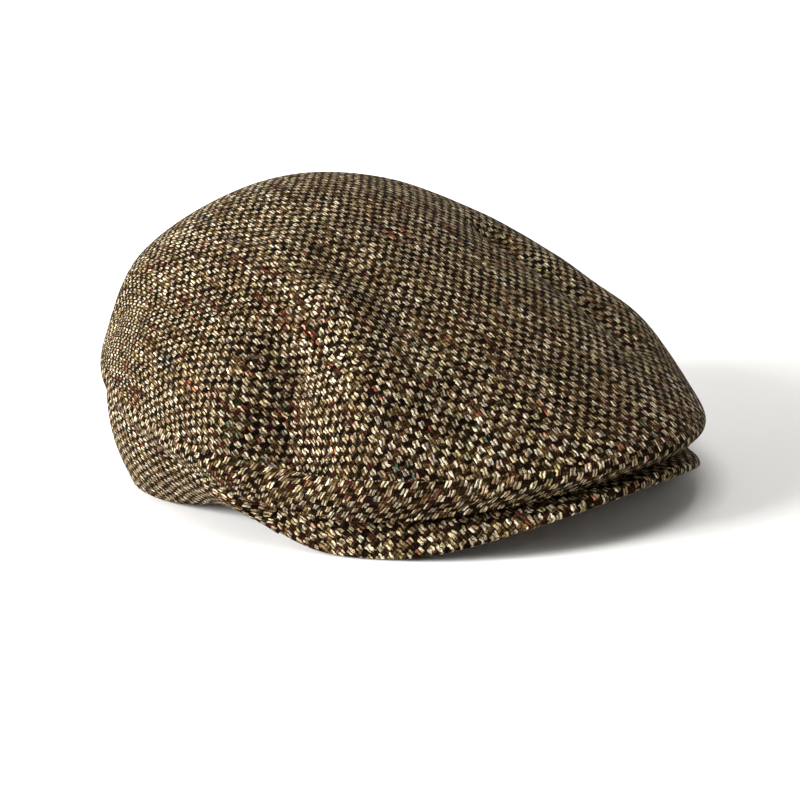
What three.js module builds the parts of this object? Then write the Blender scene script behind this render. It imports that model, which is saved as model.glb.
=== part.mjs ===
// A soft flat cap of brown tweed, lying on a table as it does when it is taken off.
// Millimetres, +Z up, the front towards -Y, the wearer's right towards -X, the table at z = 0.

import * as THREE from 'three';
import { mergeVertices } from 'three/addons/utils/BufferGeometryUtils.js';

// Cloth, stiffened peak, and the clearance that neighbouring pieces keep
const CLOTH = 2;
const PEAK_THICKNESS = 4;
const CLEARANCE = 0.5;

// The upright axis that the sections are measured from: the height of the top panel on it, and
// how far it stands behind the middle of the cap's length
const CROWN_HEIGHT = 107.5;
const AXIS_BEHIND_MIDDLE = 8.4;

// How far the top panel turns under: deep over the peak, shallow along the side seams
const FRONT_TURN = 8;
const SIDE_TURN = 3.2;
const TURN_FROM = 56;
const TURN_TO = 76;

// Angles from the centre front at which the peak ends and the side panels begin
const PEAK_END = 62.8;
const SIDE_START = 63;

// Side panels: how far they belly out between seam and rim, the degrees over which they draw in and
// thicken towards the seam at the peak's end, and the seam at the centre back
const SIDE_BELLY = 3;
const SIDE_WALL = 2.4;
const CORNER_RUN = 8;
const BACK_SEAM = 0.5;

// Peak: room under the front roll, height of the middle of its edge above its lower side, and the
// share of its depth beyond which it no longer rises
const PEAK_ROOM = 0.9;
const PEAK_EDGE_LIFT = 1.5;
const PEAK_BROW_LIMIT = 0.75;

// Facets: degrees between columns, rings on the top panel, rows on the sides and on the peak
const COLUMN_STEP = 5;
const TOP_RINGS = 22;
const SIDE_ROWS = 6;
const PEAK_ROWS = 8;
const NOSE_ROWS = 4;

// Half sections of the cap, from the centre front (0 degrees) to the centre back (180 degrees).
// Each pair of columns is a distance from the axis and a height above the table. Mid and shoulder
// lie on the top panel, edge is where it folds over, seam is its lower end, rim is the head
// opening, and tip is the lower outer edge of the peak, which the side panels carry on to the rim.
const SECTION_STEP = 45;
const SECTION_COLUMNS = [
  'angle', 'midR', 'midZ', 'shoulderR', 'shoulderZ', 'edgeR', 'edgeZ',
  'seamR', 'seamZ', 'rimR', 'rimZ', 'tipR', 'tipZ',
];
const SECTIONS = [
  [0, 52, 82, 102, 51, 135, 30, 130, 21, 79, 11, 136, 17],
  [45, 52, 85, 95, 59, 115, 29, 112, 14, 86, 9, 109, -4],
  [90, 52, 96, 84, 76, 105, 41, 99, 26, 87, 4, 87, 0],
  [135, 52, 110, 93, 91, 111, 60, 113, 46, 107, 0, 107, 0],
  [180, 52, 115, 99, 92, 118, 73, 119, 56, 109, 0, 109, 0],
];

// The rim arches up over the temples: degrees from the centre front, degrees of spread, and height
const ARCH_AT = 73;
const ARCH_SPREAD = 21;
const ARCH_RISE = 10;

// Folds of the soft top panel: each runs straight from one point to another, as wide as stated,
// raised or sunk by its height. The other side has its mirror image at a share of that height.
const FOLDS = [
  { name: 'temple dent', from: [-90, -60, 39], to: [-77, -49, 64], width: 10, height: -8.5, mirrored: 0.2 },
  { name: 'dent tail', from: [-77, -49, 64], to: [-69, -29, 77], width: 8, height: -2.5, mirrored: 0.3 },
  { name: 'low ridge', from: [-74, -86, 34], to: [-66, -74, 54], width: 9, height: 2, mirrored: 0.3 },
  { name: 'mid ridge', from: [-66, -74, 54], to: [-54, -41, 78], width: 9, height: 2.5, mirrored: 0.3 },
  { name: 'high ridge', from: [-54, -41, 78], to: [-46, -8, 92], width: 9, height: 2, mirrored: 0.3 },
  { name: 'side puff', from: [-95, 12, 62], to: [-97, -36, 45], width: 10, height: 3.5, mirrored: 0.7 },
  { name: 'puff valley', from: [-86, 55, 70], to: [-74, -8, 82], width: 7, height: -2.5, mirrored: 0.8 },
  { name: 'right valley', from: [-40, -26, 90], to: [-41, -70, 66], width: 9, height: -2, mirrored: 0.2 },
  { name: 'left valley', from: [37, -25, 90], to: [41, -91, 53], width: 5, height: -2.2, mirrored: 0 },
];

const TWEED = '#635341';
const SAME_POINT = 1e-5;
const lerp = THREE.MathUtils.lerp;

// Smooth curve through evenly numbered values, from start to end as t runs from 0 to 1
function spline(before, start, end, after, t) {
  const slope = end - before;
  const bend = 2 * before - 5 * start + 4 * end - after;
  const twist = 3 * (start - end) + after - before;
  return start + 0.5 * t * (slope + t * (bend + t * twist));
}

// The section at any angle, as named values; the table is mirrored left to right
function sectionAt(angle) {
  const last = SECTIONS.length - 1;
  const place = Math.abs(angle) / SECTION_STEP;
  const first = Math.min(Math.floor(place), last - 1);
  const row = (k) => SECTIONS[last - Math.abs(last - Math.abs(k))];
  const near = [first - 1, first, first + 1, first + 2].map(row);
  const values = SECTION_COLUMNS.map((name, column) => [
    name,
    spline(...near.map((values) => values[column]), place - first),
  ]);
  const here = Object.fromEntries(values);
  const fromArch = (Math.abs(angle) - ARCH_AT) / ARCH_SPREAD;
  here.tipZ += ARCH_RISE * Math.exp(-fromArch * fromArch);
  return here;
}

function onPlan(angle, radius, height) {
  const turn = THREE.MathUtils.degToRad(angle);
  return new THREE.Vector3(radius * Math.sin(turn), -radius * Math.cos(turn), height);
}

// Smooth top panel: t is 0 on the axis, 1 mid, 2 shoulder, 3 edge, 4 seam
function smoothTop(angle, t) {
  const here = sectionAt(angle);
  const across = sectionAt(180 - Math.abs(angle));
  const knots = [
    [-across.midR, across.midZ],
    [0, CROWN_HEIGHT],
    [here.midR, here.midZ],
    [here.shoulderR, here.shoulderZ],
    [here.edgeR, here.edgeZ],
    [here.seamR, here.seamZ],
    [2 * here.seamR - here.edgeR, 2 * here.seamZ - here.edgeZ],
  ];
  const span = Math.min(Math.floor(t), knots.length - 4);
  const along = (axis) => spline(...knots.slice(span, span + 4).map((knot) => knot[axis]), t - span);
  return onPlan(angle, along(0), along(1));
}

// Outward direction of the smooth top panel, from two short steps on it
function topNormal(angle, t) {
  const turn = 0.2;
  const step = 0.01;
  const from = Math.max(t, 2 * step);
  const along = smoothTop(angle, from + step).sub(smoothTop(angle, from - step));
  const around = smoothTop(angle + turn, from).sub(smoothTop(angle - turn, from));
  return along.cross(around).normalize();
}

function foldHeight(point) {
  let height = 0;
  for (const fold of FOLDS) {
    for (const side of [1, -1]) {
      const place = new THREE.Vector3(side * point.x, point.y, point.z);
      const run = new THREE.Line3(new THREE.Vector3(...fold.from), new THREE.Vector3(...fold.to));
      const nearest = run.closestPointToPoint(place, true, new THREE.Vector3());
      const apart = nearest.distanceTo(place) / fold.width;
      height += fold.height * (side > 0 ? 1 : fold.mirrored) * Math.exp(-0.5 * apart * apart);
    }
  }
  return height;
}

// Closed solid between two matching grids of points, each a list of columns of rows.
// Columns run anticlockwise seen from above, rows run outwards and down.
function shellGeometry(outer, inner, closed) {
  const corners = [];
  const triangle = (...points) => {
    const apart = points.every((point, k) => point.distanceTo(points[(k + 1) % 3]) > SAME_POINT);
    if (apart) corners.push(...points);
  };
  const quad = (a, b, c, d) => {
    triangle(a, b, c);
    triangle(a, c, d);
  };
  const columns = outer.length;
  const low = outer[0].length - 1;
  for (let i = 0; i < (closed ? columns : columns - 1); i += 1) {
    const j = (i + 1) % columns;
    for (let k = 0; k < low; k += 1) {
      quad(outer[i][k], outer[i][k + 1], outer[j][k + 1], outer[j][k]);
      quad(inner[i][k], inner[j][k], inner[j][k + 1], inner[i][k + 1]);
    }
    quad(outer[i][low], inner[i][low], inner[j][low], outer[j][low]);
    quad(inner[i][0], outer[i][0], outer[j][0], inner[j][0]);
  }
  if (!closed) {
    const end = columns - 1;
    for (let k = 0; k < low; k += 1) {
      quad(outer[0][k], inner[0][k], inner[0][k + 1], outer[0][k + 1]);
      quad(outer[end][k + 1], inner[end][k + 1], inner[end][k], outer[end][k]);
    }
  }
  const geometry = new THREE.BufferGeometry().setFromPoints(corners);
  const welded = mergeVertices(geometry, SAME_POINT);
  welded.computeVertexNormals();
  return welded;
}

// Angles of the columns between two ends: whole steps, and the ends themselves
function columnAngles(from, to) {
  const angles = [from];
  for (let angle = Math.ceil(from / COLUMN_STEP) * COLUMN_STEP; angle < to; angle += COLUMN_STEP) {
    if (angle > from) angles.push(angle);
  }
  return [...angles, to];
}

function tweedMesh(name, geometry) {
  const material = new THREE.MeshStandardMaterial({ color: TWEED, roughness: 0.95, metalness: 0 });
  const mesh = new THREE.Mesh(geometry, material);
  mesh.name = name;
  return mesh;
}

// Top panel: a domed sheet from the axis down to its seam, then turned flat inwards
function crownTop() {
  const outer = [];
  const inner = [];
  for (let angle = -180; angle < 180; angle += COLUMN_STEP) {
    const outside = [];
    const inside = [];
    let normal;
    for (let ring = 0; ring <= TOP_RINGS; ring += 1) {
      const t = (4 * ring) / TOP_RINGS;
      const smooth = smoothTop(ring === 0 ? 0 : angle, t);
      normal = topNormal(ring === 0 ? 0 : angle, t);
      const point = smooth.clone().addScaledVector(normal, foldHeight(smooth));
      outside.push(point);
      inside.push(point.clone().addScaledVector(normal, -CLOTH));
    }
    // The corner at the seam is mitred inside, between the wall and the flat turned edge
    const down = new THREE.Vector3(0, 0, -1);
    const mitre = normal.clone().add(down).divideScalar(1 + normal.dot(down));
    const seam = outside[TOP_RINGS];
    inside[TOP_RINGS] = seam.clone().addScaledVector(mitre, -CLOTH);
    const sideways = THREE.MathUtils.smoothstep(Math.abs(angle), TURN_FROM, TURN_TO);
    const turned = seam.clone().add(onPlan(angle, -lerp(FRONT_TURN, SIDE_TURN, sideways), 0));
    outside.push(turned);
    inside.push(turned.clone().addScaledVector(down, -CLOTH));
    outer.push(outside);
    inner.push(inside);
  }
  return tweedMesh('crown_top', shellGeometry(outer, inner, true));
}

// Side panel: hangs from the seam of the top panel down to the rim, in line with the peak in front
function sidePanel(name, from, to) {
  const outer = [];
  const inner = [];
  for (const angle of columnAngles(from, to)) {
    const here = sectionAt(angle);
    const away = THREE.MathUtils.smoothstep(Math.abs(angle), SIDE_START, SIDE_START + CORNER_RUN);
    const topR = lerp(here.tipR, here.seamR - CLEARANCE, away);
    const wall = (inset) => Array.from({ length: SIDE_ROWS + 1 }, (_, row) => {
      const down = row / SIDE_ROWS;
      const belly = away * SIDE_BELLY * Math.sin(Math.PI * down);
      const radius = lerp(topR, here.tipR, down) + belly - inset;
      return onPlan(angle, radius, Math.max(0, lerp(here.seamZ - CLEARANCE, here.tipZ, down)));
    });
    outer.push(wall(0));
    inner.push(wall(lerp(here.tipR - here.rimR, SIDE_WALL, away)));
  }
  return tweedMesh(name, shellGeometry(outer, inner, false));
}

// Middle height of the peak at a share of the way from the rim to the tip. It rises to lie close
// under the turned edge of the top panel, then falls to the tip.
function peakMiddle(here, share) {
  const half = PEAK_THICKNESS / 2;
  const plain = (at) => lerp(here.rimZ + half, here.tipZ + PEAK_EDGE_LIFT, at);
  const reach = (here.seamR - FRONT_TURN - here.rimR) / (here.tipR - here.rimR);
  const brow = Math.min(reach, PEAK_BROW_LIMIT);
  const rise = here.seamZ - PEAK_ROOM - half - plain(brow);
  const power = Math.log(0.5) / Math.log(brow);
  return plain(share) + rise * Math.sin(Math.PI * share ** power);
}

// Peak: a stiff crescent with a rounded outer edge, flattened where its corners meet the table
function peak() {
  const half = PEAK_THICKNESS / 2;
  const upper = [];
  const lower = [];
  for (const angle of columnAngles(-PEAK_END, PEAK_END)) {
    const here = sectionAt(angle);
    const noseShare = 1 - half / (here.tipR - here.rimR);
    const shares = [];
    for (let row = 0; row < PEAK_ROWS; row += 1) shares.push((noseShare * row) / PEAK_ROWS);
    for (let row = 0; row <= NOSE_ROWS; row += 1) {
      shares.push(lerp(noseShare, 1, Math.sin((Math.PI * row) / (2 * NOSE_ROWS))));
    }
    const surface = (side) => shares.map((share) => {
      const along = Math.max(0, (share - noseShare) / (1 - noseShare));
      const thickness = half * Math.sqrt(Math.max(0, 1 - along * along));
      const height = peakMiddle(here, share) + side * thickness;
      return onPlan(angle, lerp(here.rimR, here.tipR, share), Math.max(0, height));
    });
    upper.push(surface(1));
    lower.push(surface(-1));
  }
  return tweedMesh('peak', shellGeometry(upper, lower, false));
}

// Degrees that half of the seam at the centre back takes up on the rim
const seamTurn = THREE.MathUtils.radToDeg(BACK_SEAM / 2 / sectionAt(180).rimR);
const cap = new THREE.Group();
cap.name = 'flat_cap';
cap.position.y = AXIS_BEHIND_MIDDLE;
cap.add(crownTop());
cap.add(sidePanel('side_right', seamTurn - 180, -SIDE_START));
cap.add(sidePanel('side_left', SIDE_START, 180 - seamTurn));
cap.add(peak());

export default cap;
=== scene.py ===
import math

import bmesh
import bpy
import numpy as np
from mathutils import Matrix, Vector


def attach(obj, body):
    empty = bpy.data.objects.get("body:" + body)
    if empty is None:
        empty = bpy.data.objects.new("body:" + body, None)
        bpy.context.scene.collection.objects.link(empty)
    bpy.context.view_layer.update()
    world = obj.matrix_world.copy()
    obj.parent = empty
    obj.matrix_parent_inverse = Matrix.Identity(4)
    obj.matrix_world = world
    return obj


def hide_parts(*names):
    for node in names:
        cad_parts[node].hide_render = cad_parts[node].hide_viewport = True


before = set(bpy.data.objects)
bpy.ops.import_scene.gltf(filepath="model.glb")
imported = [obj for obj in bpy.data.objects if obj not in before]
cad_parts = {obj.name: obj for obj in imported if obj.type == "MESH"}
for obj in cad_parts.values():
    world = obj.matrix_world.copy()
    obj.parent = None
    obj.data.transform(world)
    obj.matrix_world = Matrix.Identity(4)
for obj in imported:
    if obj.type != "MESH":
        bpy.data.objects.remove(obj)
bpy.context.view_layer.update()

# The table: a wide pale sheet of paper that the cap lies on, lit by one large soft window-like lamp
# on the wearer's right, a weaker one above, one that lights the paper behind, and the pale room.
# Its sizes and places are in metres.


def linear(hex_colour):
    """A colour written as #rrggbb, as the linear values that shaders take."""
    shares = [int(hex_colour[k:k + 2], 16) / 255 for k in (1, 3, 5)]
    return [c / 12.92 if c <= 0.04045 else ((c + 0.055) / 1.055) ** 2.4 for c in shares]


def add_node(tree, kind, inputs=None, **settings):
    """Adds a node; inputs maps a socket to a value, or to the output that feeds it."""
    made = tree.nodes.new(kind)
    for name, value in settings.items():
        setattr(made, name, value)
    for socket, value in (inputs or {}).items():
        if isinstance(value, bpy.types.NodeSocket):
            tree.links.new(value, made.inputs[socket])
        else:
            made.inputs[socket].default_value = value
    return made


PAPER_COLOUR = "#dcdbd9"
PAPER_FLAT = 2.2
PAPER_BEND = 1.2
PAPER_WALL = 1.6
PAPER_BEND_STEPS = 12
PAPER_SPOKES = 96
PAPER_ROUGHNESS = 0.9
ROOM_COLOUR = "#ffffff"
ROOM_STRENGTH = 0.06
bend_turns = np.linspace(0, np.pi / 2, PAPER_BEND_STEPS + 1)
paper_profile = [(0.0, 0.0), (PAPER_FLAT / 2, 0.0)]
paper_profile += [
    (PAPER_FLAT + PAPER_BEND * math.sin(turn), PAPER_BEND * (1 - math.cos(turn)))
    for turn in bend_turns
]
paper_profile += [(PAPER_FLAT + PAPER_BEND, PAPER_BEND + PAPER_WALL)]
paper_turns = np.linspace(0, 2 * np.pi, PAPER_SPOKES + 1)[:-1]
paper_points = [
    (reach * math.cos(turn), reach * math.sin(turn), height)
    for reach, height in paper_profile
    for turn in paper_turns
]
paper_faces = []
for row in range(len(paper_profile) - 1):
    inner_ring = row * PAPER_SPOKES
    outer_ring = inner_ring + PAPER_SPOKES
    for i in range(PAPER_SPOKES):
        j = (i + 1) % PAPER_SPOKES
        paper_faces.append((inner_ring + i, inner_ring + j, outer_ring + j, outer_ring + i))
paper_mesh = bpy.data.meshes.new("table_paper")
paper_mesh.from_pydata(paper_points, [], paper_faces)
paper_mesh.polygons.foreach_set("use_smooth", [True] * len(paper_faces))
paper = bpy.data.objects.new("table_paper", paper_mesh)
bpy.context.collection.objects.link(paper)

# Matt paper: an even pale ground with no shine, nearly white where the lamps fall on it
paper_finish = bpy.data.materials.new("matt_paper")
paper_finish.use_nodes = True
paper_shader = paper_finish.node_tree.nodes["Principled BSDF"]
paper_shader.inputs["Base Color"].default_value = (*linear(PAPER_COLOUR), 1)
paper_shader.inputs["Roughness"].default_value = PAPER_ROUGHNESS
paper.data.materials.append(paper_finish)

room = bpy.data.worlds.new("pale_room")
room.use_nodes = True
room.node_tree.nodes["Background"].inputs["Color"].default_value = (*linear(ROOM_COLOUR), 1)
room.node_tree.nodes["Background"].inputs["Strength"].default_value = ROOM_STRENGTH
bpy.context.scene.world = room
bpy.context.scene.view_settings.view_transform = "Standard"

LAMPS = [
    {"name": "window_lamp", "from": (-1.8, 0.68, 0.82), "aim": (0, 0, 0.05), "size": 1.0, "watts": 114},
    {"name": "top_lamp", "from": (-0.35, -0.25, 1.4), "aim": (0, 0, 0.05), "size": 0.8, "watts": 16},
    {"name": "wall_lamp", "from": (0.5, 0.6, 2.2), "aim": (2.2, 2.7, 1.2), "size": 1.5, "watts": 130},
]
for row in LAMPS:
    lamp = bpy.data.lights.new(row["name"], "AREA")
    lamp.size = row["size"]
    lamp.energy = row["watts"]
    holder = bpy.data.objects.new(row["name"], lamp)
    holder.location = row["from"]
    holder.rotation_euler = (Vector(row["aim"]) - holder.location).to_track_quat("-Z", "Y").to_euler()
    bpy.context.collection.objects.link(holder)

# Camera: near the cap's right front corner and a little above it, turned slightly on its own axis.
# Its distances are in mm, as the sizes of the cap are.
MM = 0.001
CAMERA_AZIMUTH = math.radians(-39.04)
CAMERA_RISE = math.radians(13.71)
CAMERA_ROLL = math.radians(-4.19)
CAMERA_AWAY = 479.0
CAMERA_TARGET = Vector((-22.0, -26.6, 35.7))
PIXELS_PER_MM = 2.721
PICTURE_WIDTH = 800
SENSOR_WIDTH = 36.0
NEAREST_SEEN = 10.0
back = Vector((
    math.sin(CAMERA_AZIMUTH) * math.cos(CAMERA_RISE),
    -math.cos(CAMERA_AZIMUTH) * math.cos(CAMERA_RISE),
    math.sin(CAMERA_RISE),
))
level = Vector((math.cos(CAMERA_AZIMUTH), math.sin(CAMERA_AZIMUTH), 0))
upright = back.cross(level)
right = level * math.cos(CAMERA_ROLL) + upright * math.sin(CAMERA_ROLL)
up = upright * math.cos(CAMERA_ROLL) - level * math.sin(CAMERA_ROLL)
place = (CAMERA_TARGET + back * CAMERA_AWAY) * MM
lens = bpy.data.cameras.new("view_camera")
lens.sensor_width = SENSOR_WIDTH
lens.lens = PIXELS_PER_MM * CAMERA_AWAY / PICTURE_WIDTH * SENSOR_WIDTH
lens.clip_start = NEAREST_SEEN * MM
camera = bpy.data.objects.new("view_camera", lens)
camera.matrix_world = Matrix((
    (right.x, up.x, back.x, place.x),
    (right.y, up.y, back.y, place.y),
    (right.z, up.z, back.z, place.z),
    (0, 0, 0, 1),
))
bpy.context.collection.objects.link(camera)
bpy.context.scene.camera = camera

# Top panel: one large piece of hopsack tweed, domed over the head from the back to the roll above
# the peak. Its edge is folded under, along a soft crease, and sewn to the side panels and the peak.
CLOTH = 2.0
CROWN_HEIGHT = 107.5
AXIS_BEHIND_MIDDLE = 8.4
FRONT_TURN = 8.0
SIDE_TURN = 3.2
TURN_FROM = 56
TURN_TO = 76
COLUMN_STEP = 1.5
SAME_POINT = 0.01 * MM
NO_LENGTH = 1e-9
TOP_ROWS = 128
TURN_ROWS = 3
EDGE_AT = 3
SEAM_AT = 4

# Half sections from the centre front to the centre back, in mm from the upright axis and the table
SECTION_STEP = 45
SECTION_COLUMNS = [
    "angle", "mid_r", "mid_z", "shoulder_r", "shoulder_z", "edge_r", "edge_z",
    "seam_r", "seam_z", "rim_r", "rim_z", "tip_r", "tip_z",
]
SECTIONS = np.array([
    [0, 52, 82, 102, 51, 135, 30, 130, 21, 79, 11, 136, 17],
    [45, 52, 85, 95, 59, 115, 29, 112, 14, 86, 9, 109, -4],
    [90, 52, 96, 84, 76, 105, 41, 99, 26, 87, 4, 87, 0],
    [135, 52, 110, 93, 91, 111, 60, 113, 46, 107, 0, 107, 0],
    [180, 52, 115, 99, 92, 118, 73, 119, 56, 109, 0, 109, 0],
])

# The rim arches up over the temples, this many degrees from the centre front
ARCH_AT = 73
ARCH_SPREAD = 21
ARCH_RISE = 10

# Folds of the slack cloth: each runs from one point to another, and is raised or sunk by its height.
# The other side has its mirror image at a share of that height. The dent core and the full depth of
# the left valley are finer than the solids show.
FOLD_COLUMNS = ["name", "start", "end", "width", "height", "mirrored"]
FOLD_ROWS = [
    ("temple dent", (-90, -60, 39), (-77, -49, 64), 10, -8.5, 0.2),
    ("dent tail", (-77, -49, 64), (-69, -29, 77), 8, -2.5, 0.3),
    ("dent core", (-91, -47, 44), (-82, -62, 35), 7, -5, 0),
    ("low ridge", (-74, -86, 34), (-66, -74, 54), 9, 2, 0.3),
    ("mid ridge", (-66, -74, 54), (-54, -41, 78), 9, 2.5, 0.3),
    ("high ridge", (-54, -41, 78), (-46, -8, 92), 9, 2, 0.3),
    ("side puff", (-95, 12, 62), (-97, -36, 45), 10, 3.5, 0.7),
    ("puff valley", (-86, 55, 70), (-74, -8, 82), 7, -2.5, 0.8),
    ("right valley", (-40, -26, 90), (-41, -70, 66), 9, -2, 0.2),
    ("left valley", (37, -25, 90), (41, -91, 53), 5, -3.6, 0),
]
FOLDS = [dict(zip(FOLD_COLUMNS, row)) for row in FOLD_ROWS]


def spline(before, start, end, after, t):
    """Smooth curve through evenly numbered values, from start to end as t runs from 0 to 1."""
    slope = end - before
    bend = 2 * before - 5 * start + 4 * end - after
    twist = 3 * (start - end) + after - before
    return start + 0.5 * t * (slope + t * (bend + t * twist))


def section_at(angles):
    """The sections at an array of angles, as named arrays; the table is mirrored left to right."""
    last = len(SECTIONS) - 1
    along = np.abs(angles) / SECTION_STEP
    first = np.minimum(along.astype(int), last - 1)
    rows = [SECTIONS[last - np.abs(last - np.abs(first + k))] for k in (-1, 0, 1, 2)]
    values = spline(*rows, (along - first)[..., None])
    here = {name: values[..., k] for k, name in enumerate(SECTION_COLUMNS)}
    here["tip_z"] = here["tip_z"] + ARCH_RISE * np.exp(-((np.abs(angles) - ARCH_AT) / ARCH_SPREAD) ** 2)
    return here


def on_plan(angles, radius, height):
    """Points at angles from the centre front, at a radius from the axis and a height."""
    turn = np.radians(angles)
    radius, height, turn = np.broadcast_arrays(radius, height, turn)
    return np.stack([radius * np.sin(turn), -radius * np.cos(turn), height], -1)


def smooth_top(angles, shares):
    """The top panel without folds; shares are 0 on the axis, 1 mid, 2 shoulder, 3 edge, 4 seam."""
    here = {name: value[:, None] for name, value in section_at(angles).items()}
    across = {name: value[:, None] for name, value in section_at(180 - np.abs(angles)).items()}
    middle = np.zeros_like(here["mid_r"])
    knots_r = [-across["mid_r"], middle, here["mid_r"], here["shoulder_r"], here["edge_r"], here["seam_r"],
               2 * here["seam_r"] - here["edge_r"]]
    knots_z = [across["mid_z"], middle + CROWN_HEIGHT, here["mid_z"], here["shoulder_z"], here["edge_z"],
               here["seam_z"], 2 * here["seam_z"] - here["edge_z"]]
    knots = np.stack([np.concatenate(knots_r, 1), np.concatenate(knots_z, 1)], -1)
    span = np.minimum(shares.astype(int), SEAM_AT - 1)
    near = [knots[:, span + k] for k in range(4)]
    curve = spline(*near, (shares - span)[None, :, None])
    return on_plan(angles[:, None], curve[..., 0], curve[..., 1])


def fold_height(points):
    """How far the folds raise the cloth at each point, in mm."""
    height = np.zeros(points.shape[:-1])
    for fold in FOLDS:
        start = np.array(fold["start"], float)
        run = np.array(fold["end"], float) - start
        for side, share in ((1, 1.0), (-1, fold["mirrored"])):
            place = points * (side, 1, 1) - start
            along = np.clip(place @ run / (run @ run), 0, 1)
            apart = np.linalg.norm(place - along[..., None] * run, axis=-1) / fold["width"]
            height += fold["height"] * share * np.exp(-0.5 * apart ** 2)
    return height


def unit(vectors):
    return vectors / np.maximum(np.linalg.norm(vectors, axis=-1, keepdims=True), NO_LENGTH)


def arc_length(points):
    """Length along each column of points, from its first row."""
    steps = np.linalg.norm(np.diff(points, axis=1), axis=-1)
    return np.concatenate([np.zeros((len(points), 1)), np.cumsum(steps, 1)], 1)


def cloth_piece(name, outer, inner, charts, closed):
    """A closed piece between two grids of points in mm. charts are (first row, weave places)."""
    columns, rows = outer.shape[:2]
    count = columns * rows
    points = np.concatenate([outer.reshape(-1, 3), inner.reshape(-1, 3)])
    points = (points + (0, AXIS_BEHIND_MIDDLE, 0)) * MM
    faces = []
    weave = []

    def number(layer, i, k):
        return layer * count + (i % columns) * rows + k

    def chart_at(row):
        return [places for start, places in charts if start <= row][-1]

    def face(corners, row):
        faces.append([number(*corner) for corner in corners])
        places = chart_at(row)
        weave.extend(places[i][k] for _, i, k in corners)

    for i in range(columns if closed else columns - 1):
        j = i + 1
        for k in range(rows - 1):
            face(((0, i, k), (0, i, k + 1), (0, j, k + 1), (0, j, k)), k)
            face(((1, i, k), (1, j, k), (1, j, k + 1), (1, i, k + 1)), k)
        low = rows - 1
        face(((0, i, low), (1, i, low), (1, j, low), (0, j, low)), low - 1)
        if not closed or np.linalg.norm(outer[0, 0] - outer[1, 0]) > NO_LENGTH:
            face(((1, i, 0), (0, i, 0), (0, j, 0), (1, j, 0)), 0)
    if not closed:
        end = columns - 1
        for k in range(rows - 1):
            face(((0, 0, k), (1, 0, k), (1, 0, k + 1), (0, 0, k + 1)), k)
            face(((0, end, k + 1), (1, end, k + 1), (1, end, k), (0, end, k)), k)
    mesh = bpy.data.meshes.new(name)
    mesh.from_pydata(points.tolist(), [], faces)
    layer = mesh.uv_layers.new(name="weave")
    layer.uv.foreach_set("vector", np.array(weave, np.float32).ravel())
    joined = bmesh.new()
    joined.from_mesh(mesh)
    bmesh.ops.remove_doubles(joined, verts=joined.verts, dist=SAME_POINT)
    bmesh.ops.dissolve_degenerate(joined, edges=joined.edges, dist=SAME_POINT / 2)
    joined.to_mesh(mesh)
    joined.free()
    mesh.polygons.foreach_set("use_smooth", [True] * len(mesh.polygons))
    piece = bpy.data.objects.new(name, mesh)
    bpy.context.collection.objects.link(piece)
    return piece


angles = np.arange(-180, 180, COLUMN_STEP)
shares = np.linspace(0, SEAM_AT, TOP_ROWS + 1)
dome = smooth_top(angles, shares)
along = np.gradient(dome, axis=1)
around = np.roll(dome, -1, 0) - np.roll(dome, 1, 0)
facing = unit(np.cross(along, around))
facing[:, 0] = unit(facing[:, 1].mean(0))
dome = dome + facing * fold_height(dome)[..., None]
underside = dome - facing * CLOTH
down = np.array((0.0, 0.0, -1.0))
corner = facing[:, -1]
mitre = (corner + down) / (1 + corner @ down)[:, None]
underside[:, -1] = dome[:, -1] - mitre * CLOTH
sideways = np.clip((np.abs(angles) - TURN_FROM) / (TURN_TO - TURN_FROM), 0, 1)
sideways = sideways ** 2 * (3 - 2 * sideways)
turn_depth = FRONT_TURN + (SIDE_TURN - FRONT_TURN) * sideways
for row in range(1, TURN_ROWS + 1):
    inward = on_plan(angles, -turn_depth * row / TURN_ROWS, 0)
    turned = dome[:, TOP_ROWS] + inward
    dome = np.concatenate([dome, turned[:, None]], 1)
    underside = np.concatenate([underside, (turned - down * CLOTH)[:, None]], 1)

# Weave places: the dome is laid flat from its axis, then eased. The threads draw apart towards the
# front, and the rows droop at the sides, where the cloth was pulled round the head. The band below
# the crease is laid along the crease.
LAY_SPAN = 150.0
BACK_HOLD = 0.35
CROSS_SPREAD = 1.1
CROSS_DRAW = 0.3
FORE_SPREAD = 1.0
SIDE_DROOP = 0.25
flat_radius = arc_length(np.concatenate([dome, dome[:1]]))
all_round = np.append(angles, 180)
turn = np.radians(all_round)[:, None]
cross = flat_radius * np.sin(turn) / LAY_SPAN
fore = -flat_radius * np.cos(turn) / LAY_SPAN
held = np.where(fore < 0, fore, BACK_HOLD * np.tanh(fore / BACK_HOLD))
cross_eased = cross * (CROSS_SPREAD + CROSS_DRAW * held)
fore_eased = FORE_SPREAD * fore - SIDE_DROOP * cross ** 2
dome_places = LAY_SPAN * np.stack([cross_eased, fore_eased], -1)
edge_row = round(TOP_ROWS * EDGE_AT / SEAM_AT)
BAND_SLANT = 0.7
SLANT_FADE = 35.0
edge_line = np.concatenate([dome, dome[:1]])[:, edge_row]
edge_step = np.linalg.norm(np.diff(edge_line, axis=0), axis=-1)
edge_length = np.concatenate([[0], np.cumsum(edge_step)])
edge_length = edge_length - edge_length[-1] / 2
below = flat_radius - flat_radius[:, edge_row:edge_row + 1]
slant = -BAND_SLANT * np.tanh(all_round / SLANT_FADE) * np.tanh((180 - np.abs(all_round)) / SLANT_FADE)
band_places = np.stack([edge_length[:, None] + slant[:, None] * below, -below], -1)
crown = cloth_piece("crown_cloth", dome, underside, [(0, dome_places), (edge_row, band_places)], True)

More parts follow.
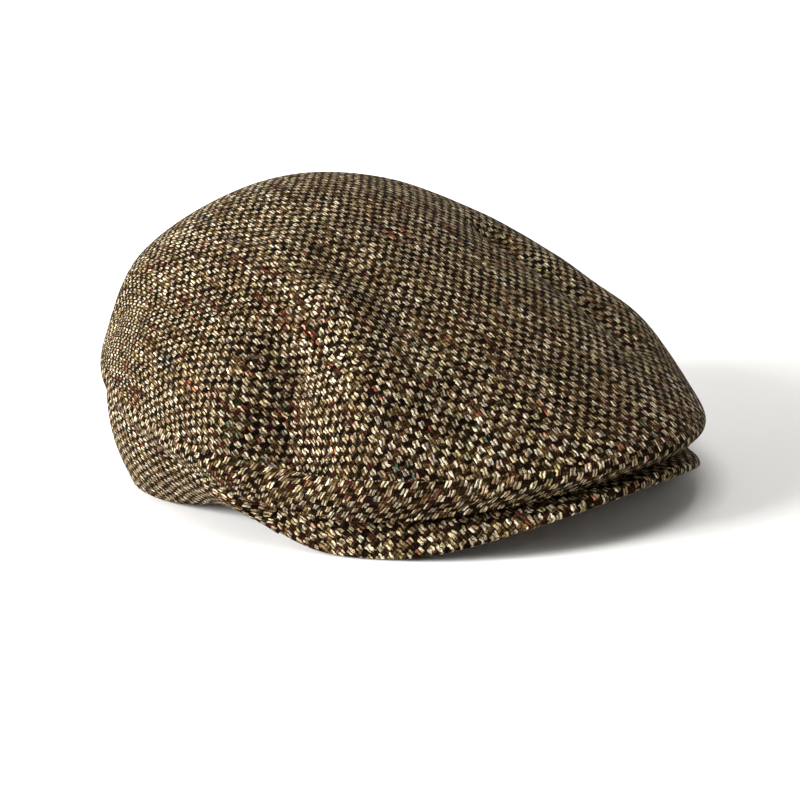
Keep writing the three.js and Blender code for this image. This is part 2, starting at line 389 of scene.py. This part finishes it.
# Hopsack tweed, woven of woollen yarns two by two: pairs of pale warp threads lie over pairs of dark
# weft threads in turn, so the eye sees a small check of cream ticks on near black, with odd flecks.
# Sizes are in mm. Wool fibres are about 0.03 mm thick, too fine to show, so their streaks are drawn
# as coarse as half a millimetre.
THREADS_TOGETHER = 2
THREAD_PITCH = 1.22
THREAD_WANDER = 1.6
THREAD_WANDER_RUN = 4.5
THREAD_WANDER_DETAIL = 2.0
THREAD_FUZZ = 1.0
THREAD_FUZZ_RUN = 1.25
THREAD_FUZZ_DETAIL = 1.0
FIBRE_STREAK = (0.47, 2.7)
FIBRE_DETAIL = 2.0
FIBRE_ROUGHNESS = 0.7
LINT_TUFT = 0.53
LINT_DETAIL = 2.0
LINT_ROUGHNESS = 0.8
SAME_SHADE_RUN = 9.8
RELIEF = 0.5
RELIEF_STRENGTH = 0.7
WOOL_ROUGHNESS = 0.92
WOOL_SHINE = 0.03
WARP_YARNS = [
    (0.00, "#c3b69b"), (0.16, "#b5a586"), (0.36, "#a59273"), (0.56, "#927e5f"), (0.72, "#796446"),
    (0.80, "#b0a170"), (0.85, "#827754"), (0.89, "#a4836b"), (0.93, "#84796f"), (0.960, "#8d563b"),
    (0.976, "#66352c"), (0.990, "#566656"), (0.998, "#405e90"),
]
WEFT_YARNS = [
    (0.00, "#2b1b0d"), (0.30, "#3d2915"), (0.52, "#583f24"), (0.68, "#785d3a"), (0.80, "#1a0f07"),
    (0.88, "#57291e"), (0.94, "#363422"), (0.97, "#8c673e"),
]

# Form of a float, the stretch of a thread that lies on top: how its ends and sides fade, how uneven
# it is and how it arches
FLOAT_ENDS = (-0.4, 0.4)
FLOAT_SIDES = (0.1, 0.5)
FLOAT_RIM = (0.2, 0.8)
PAIR_SLIP = (-0.35, 0.35)
PLUMPNESS = (-0.35, 0.25)
RAGGED_FROM = (0.25, 0.75)
RAGGED = (-0.4, 0.4)
THREAD_ROUNDNESS = 0.5
FLOAT_ARCH_FROM = (-0.4, 0.8)
FLOAT_ARCH = (0.35, 1.0)
WEFT_HEIGHT = 0.45
YARN_STAGGER = 5.37

# A noise swings about its middle, and mostly keeps to its range
NOISE_MIDDLE = (0.5, 0.5, 0.5)
NOISE_RANGE = (0.3, 0.7)

# Shares of light: the least and the most that each thing leaves of a yarn's colour. A name that ends
# in FROM is the range of the thing itself.
FIBRE_LIGHT = (0.3, 1.55)
FIBRE_CONTRAST = 2.0
FLOAT_LIGHT = (0.5, 1.1)
# The core and depth shares paint shade between the threads into the colour
CORE_FROM = (0.2, 0.95)
CORE_LIGHT = (0.3, 1.0)
DEPTH_FROM = (0.1, 0.85)
DEPTH_LIGHT = (0.2, 1.0)
LINT_LIGHT = (0.5, 1.5)

# One number for each random draw, so that the draws differ
FLOAT_DRAW = 1.5
WARP_DRAW = 3.5
WEFT_DRAW = 8.5


def hopsack_tweed(name):
    """The finish of one piece, which follows the weave places of its cloth."""
    finish = bpy.data.materials.new(name)
    finish.use_nodes = True
    tree = finish.node_tree
    shader = tree.nodes["Principled BSDF"]

    def work(operation, *values):
        return add_node(tree, "ShaderNodeMath", dict(enumerate(values)), operation=operation).outputs[0]

    def move(operation, inputs):
        return add_node(tree, "ShaderNodeVectorMath", inputs, operation=operation).outputs[0]

    def spread(value, source, target=(0.0, 1.0), ease="LINEAR"):
        """A value that runs over the source range, carried over to the target range."""
        limits = {"From Min": source[0], "From Max": source[1], "To Min": target[0], "To Max": target[1]}
        made = add_node(tree, "ShaderNodeMapRange", {"Value": value, **limits}, interpolation_type=ease)
        return made.outputs[0]

    def noise(vector, run, detail, roughness=0.5):
        inputs = {"Vector": vector, "Scale": 1 / run, "Detail": detail, "Roughness": roughness}
        return add_node(tree, "ShaderNodeTexNoise", inputs).outputs

    def draw(cell_x, cell_y, number):
        """A random value for each cell of the weave."""
        cell = add_node(tree, "ShaderNodeCombineXYZ", {"X": cell_x, "Y": cell_y, "Z": number})
        return add_node(tree, "ShaderNodeTexWhiteNoise", {"Vector": cell.outputs[0]}).outputs["Value"]

    def yarn_shade(yarns, chance):
        ramp = add_node(tree, "ShaderNodeValToRGB", {"Fac": chance})
        stops = ramp.color_ramp.elements
        ramp.color_ramp.interpolation = "CONSTANT"
        stops.remove(stops[1])
        for k, (start, colour) in enumerate(yarns):
            stop = stops[0] if k == 0 else stops.new(start)
            stop.color = (*linear(colour), 1)
        return ramp.outputs["Color"]

    # Threads wander a little, as hand-spun yarn does, and their edges are fuzzy
    places = add_node(tree, "ShaderNodeUVMap", uv_map="weave").outputs["UV"]
    wander = noise(places, THREAD_WANDER_RUN, THREAD_WANDER_DETAIL)["Color"]
    wander = move("SUBTRACT", {0: wander, 1: NOISE_MIDDLE})
    shifted = move("MULTIPLY_ADD", {0: wander, 1: (THREAD_WANDER, THREAD_WANDER, 0), 2: places})
    fuzz = noise(places, THREAD_FUZZ_RUN, THREAD_FUZZ_DETAIL)["Color"]
    fuzz = move("SUBTRACT", {0: fuzz, 1: NOISE_MIDDLE})
    shaken = move("MULTIPLY_ADD", {0: fuzz, 1: (THREAD_FUZZ, THREAD_FUZZ, 0), 2: shifted})
    threads = move("SCALE", {0: shaken, "Scale": 1 / THREAD_PITCH})
    streaks = move("DIVIDE", {0: shaken, 1: (*FIBRE_STREAK, 1.0)})
    fibres = noise(streaks, 1.0, FIBRE_DETAIL, FIBRE_ROUGHNESS)["Fac"]

    # Each pair of threads slips a little against the next
    split = add_node(tree, "ShaderNodeSeparateXYZ", {0: threads})
    across = split.outputs["X"]
    pair_across = work("FLOOR", work("DIVIDE", across, THREADS_TOGETHER))
    slip = add_node(tree, "ShaderNodeTexWhiteNoise", {"W": pair_across}, noise_dimensions="1D")
    along = work("ADD", split.outputs["Y"], spread(slip.outputs["Value"], (0.0, 1.0), PAIR_SLIP))
    one_across = work("FLOOR", across)
    one_along = work("FLOOR", along)

    # Which threads lie on top: long waves across and along turn every two threads, and the pale
    # floats are a little narrower and longer than their squares
    half_wave = math.pi / THREADS_TOGETHER
    wave_across = work("SINE", work("MULTIPLY", across, half_wave))
    wave_along = work("SINE", work("MULTIPLY", along, half_wave))
    turn_over = work("SIGN", wave_across)
    lift = work("MULTIPLY", wave_along, turn_over)
    long_share = spread(lift, FLOAT_ENDS, ease="SMOOTHSTEP")
    side_share = spread(work("ABSOLUTE", wave_across), FLOAT_SIDES, ease="SMOOTHSTEP")
    plain_up = work("MULTIPLY", long_share, side_share)
    float_share = work("DIVIDE", work("ADD", along, turn_over), 2 * THREADS_TOGETHER)
    float_chance = draw(one_across, work("FLOOR", float_share), FLOAT_DRAW)
    plumpness = spread(float_chance, (0.0, 1.0), PLUMPNESS)
    ragged = spread(fibres, RAGGED_FROM, RAGGED)
    ragged_up = work("ADD", plain_up, work("ADD", plumpness, ragged))
    warp_up = spread(ragged_up, FLOAT_RIM, ease="SMOOTHSTEP")

    # Rounded backs of the threads, and the rise of each float between its two dives
    warp_back = work("ABSOLUTE", work("SINE", work("MULTIPLY", across, math.pi)))
    weft_back = work("ABSOLUTE", work("SINE", work("MULTIPLY", along, math.pi)))
    warp_round = work("POWER", warp_back, THREAD_ROUNDNESS)
    weft_round = work("POWER", weft_back, THREAD_ROUNDNESS)
    warp_high = work("MULTIPLY", warp_round, spread(lift, FLOAT_ARCH_FROM, FLOAT_ARCH))
    weft_low = work("MULTIPLY", weft_round, WEFT_HEIGHT)
    backs = {"Factor": warp_up, "A": weft_low, "B": warp_high}
    height = add_node(tree, "ShaderNodeMix", backs).outputs[0]

    # Each float has the shade of its own stretch of yarn
    yarn_share = work("MULTIPLY", along, THREAD_PITCH / SAME_SHADE_RUN)
    yarn_number = work("FLOOR", work("MULTIPLY_ADD", one_across, YARN_STAGGER, yarn_share))
    warp_shade = yarn_shade(WARP_YARNS, draw(one_across, yarn_number, WARP_DRAW))
    weft_shade = yarn_shade(WEFT_YARNS, draw(pair_across, one_along, WEFT_DRAW))
    on_top = {"Factor": warp_up, "A": weft_shade, "B": warp_shade}
    yarn = add_node(tree, "ShaderNodeMix", on_top, data_type="RGBA").outputs["Result"]

    # Wool fibres along the threads, loose lint, and painted shade where the weave lies low and between the
    # warp threads
    light = work("POWER", spread(fibres, NOISE_RANGE, FIBRE_LIGHT), FIBRE_CONTRAST)
    light = work("MULTIPLY", light, spread(float_chance, (0.0, 1.0), FLOAT_LIGHT))
    # Painted shade: darker where the weave lies low, on the weft between the floats
    light = work("MULTIPLY", light, spread(height, DEPTH_FROM, DEPTH_LIGHT))
    # Painted shade: darker between neighbouring warp threads, across the whole cloth
    light = work("MULTIPLY", light, spread(warp_back, CORE_FROM, CORE_LIGHT, ease="SMOOTHSTEP"))
    lint = noise(places, LINT_TUFT, LINT_DETAIL, LINT_ROUGHNESS)["Fac"]
    light = work("MULTIPLY", light, spread(lint, NOISE_RANGE, LINT_LIGHT))
    colour = move("SCALE", {0: yarn, "Scale": light})
    bumps = {"Height": height, "Strength": RELIEF_STRENGTH, "Distance": RELIEF * MM}
    relief = add_node(tree, "ShaderNodeBump", bumps)
    tree.links.new(colour, shader.inputs["Base Color"])
    tree.links.new(relief.outputs["Normal"], shader.inputs["Normal"])
    shader.inputs["Roughness"].default_value = WOOL_ROUGHNESS
    shader.inputs["Specular IOR Level"].default_value = WOOL_SHINE
    return finish


crown.data.materials.append(hopsack_tweed("hopsack_tweed_top"))
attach(crown, "root")
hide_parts("crown_top")

# Side panels: two strips of the same tweed that hang from the seam under the top panel's edge, from
# the temples to the seam at the centre back. Their lower edge is a turned hem, the rim of the cap.
CLEARANCE = 0.5
SIDE_START = 63.0
SIDE_BELLY = 3.0
SIDE_WALL = 2.4
SIDE_ROWS = 44
SIDE_ROW_CROWDING = 0.9
SIDE_COLUMN_STEP = 1.0
HEM_DEEPEST = 0.8
CORNER_RUN = 8.0
BACK_SEAM = 0.5
SIDE_LEAN = 0.5

# Under the seam the cloth tucks in a little, over a share of the panel's depth: finer than the solids
SEAM_TUCK = 1.4
SEAM_TUCK_RUN = 0.07

back_turn = math.degrees(BACK_SEAM / 2 / SECTIONS[-1][SECTION_COLUMNS.index("rim_r")])
side_angles = np.concatenate([np.arange(SIDE_START, 180 - back_turn, SIDE_COLUMN_STEP), [180 - back_turn]])
for name, node, side in (("side_right_cloth", "side_right", -1), ("side_left_cloth", "side_left", 1)):
    turns = np.sort(side * side_angles)
    here = {key: value[:, None] for key, value in section_at(turns).items()}
    share = np.linspace(0, 1, SIDE_ROWS + 1) ** SIDE_ROW_CROWDING
    away = np.clip((np.abs(turns[:, None]) - SIDE_START) / CORNER_RUN, 0, 1)
    away = away ** 2 * (3 - 2 * away)
    belly = away * SIDE_BELLY * np.sin(np.pi * share)
    belly = belly - away * SEAM_TUCK * np.exp(-(share / SEAM_TUCK_RUN) ** 2)
    top_r = here["tip_r"] + (here["seam_r"] - CLEARANCE - here["tip_r"]) * away
    top_z = here["seam_z"] - CLEARANCE
    radius = top_r + (here["tip_r"] - top_r) * share + belly
    height = np.maximum(0, top_z + (here["tip_z"] - top_z) * share)
    to_rim = np.maximum(0, height - here["tip_z"]).clip(0, SIDE_WALL / 2)
    hem = SIDE_WALL / 2 - np.sqrt((SIDE_WALL / 2) ** 2 - (SIDE_WALL / 2 - to_rim) ** 2)
    hem = np.minimum(hem, HEM_DEEPEST)
    corner_wall = here["tip_r"] - here["rim_r"]
    thick = corner_wall + (SIDE_WALL - corner_wall) * away
    wall = on_plan(turns[:, None], radius - hem, height)
    wall_inside = on_plan(turns[:, None], radius - thick + hem, height)
    drop = arc_length(wall)
    seam_step = np.linalg.norm(np.diff(wall[:, 0], axis=0), axis=-1)
    seam_length = np.concatenate([[0], np.cumsum(seam_step)])[:, None]
    places = np.stack([-drop, seam_length - side * SIDE_LEAN * drop], -1)
    panel = cloth_piece(name, wall, wall_inside, [(0, places)], False)
    panel.data.materials.append(hopsack_tweed("hopsack_tweed_" + node))
    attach(panel, "root")
    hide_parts(node)

# Peak: a short stiff crescent under the front roll, covered above and below in the same tweed drawn
# tight over its rounded edge. It is sewn to the rim behind, and its corners bend down to the table.
PEAK_THICKNESS = 4.0
PEAK_END = 62.8
PEAK_ROOM = 0.9
PEAK_EDGE_LIFT = 1.5
PEAK_BROW_LIMIT = 0.75
PEAK_ROWS = 48
NOSE_ROWS = 10
PEAK_COLUMNS = 140
PEAK_SETTLE = 2.0


def settled(height):
    """Heights eased to the table, so that the edge bends softly where it comes to rest."""
    return (height + np.sqrt(height ** 2 + PEAK_SETTLE ** 2)) / 2


peak_angles = np.linspace(-PEAK_END, PEAK_END, PEAK_COLUMNS + 1)
here = {key: value[:, None] for key, value in section_at(peak_angles).items()}
half = PEAK_THICKNESS / 2
nose_at = 1 - half / (here["tip_r"] - here["rim_r"])
plain_rows = np.arange(PEAK_ROWS) / PEAK_ROWS
nose_rows = np.sin(np.pi / 2 * np.arange(NOSE_ROWS + 1) / NOSE_ROWS)
share = np.concatenate([nose_at * plain_rows, nose_at + (1 - nose_at) * nose_rows], 1)
behind = here["rim_z"] + half
ahead = here["tip_z"] + PEAK_EDGE_LIFT
under_turn = (here["seam_r"] - FRONT_TURN - here["rim_r"]) / (here["tip_r"] - here["rim_r"])
brow = np.minimum(under_turn, PEAK_BROW_LIMIT)
lift = here["seam_z"] - PEAK_ROOM - half - (behind + (ahead - behind) * brow)
power = np.log(0.5) / np.log(brow)
middle = behind + (ahead - behind) * share + lift * np.sin(np.pi * share ** power)
round_off = np.clip((share - nose_at) / (1 - nose_at), 0, 1)
thickness = half * np.sqrt(np.maximum(0, 1 - round_off ** 2))
reach = here["rim_r"] + (here["tip_r"] - here["rim_r"]) * share
upper = on_plan(peak_angles[:, None], reach, settled(middle + thickness))
lower = on_plan(peak_angles[:, None], reach, settled(middle - thickness))
flat_reach = here["rim_r"] + arc_length(upper)
peak_turn = np.radians(peak_angles)[:, None]
peak_places = np.stack([flat_reach * np.sin(peak_turn), -flat_reach * np.cos(peak_turn)], -1)
peak = cloth_piece("peak_cloth", upper, lower, [(0, peak_places)], False)
peak.data.materials.append(hopsack_tweed("hopsack_tweed_peak"))
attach(peak, "root")
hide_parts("peak")
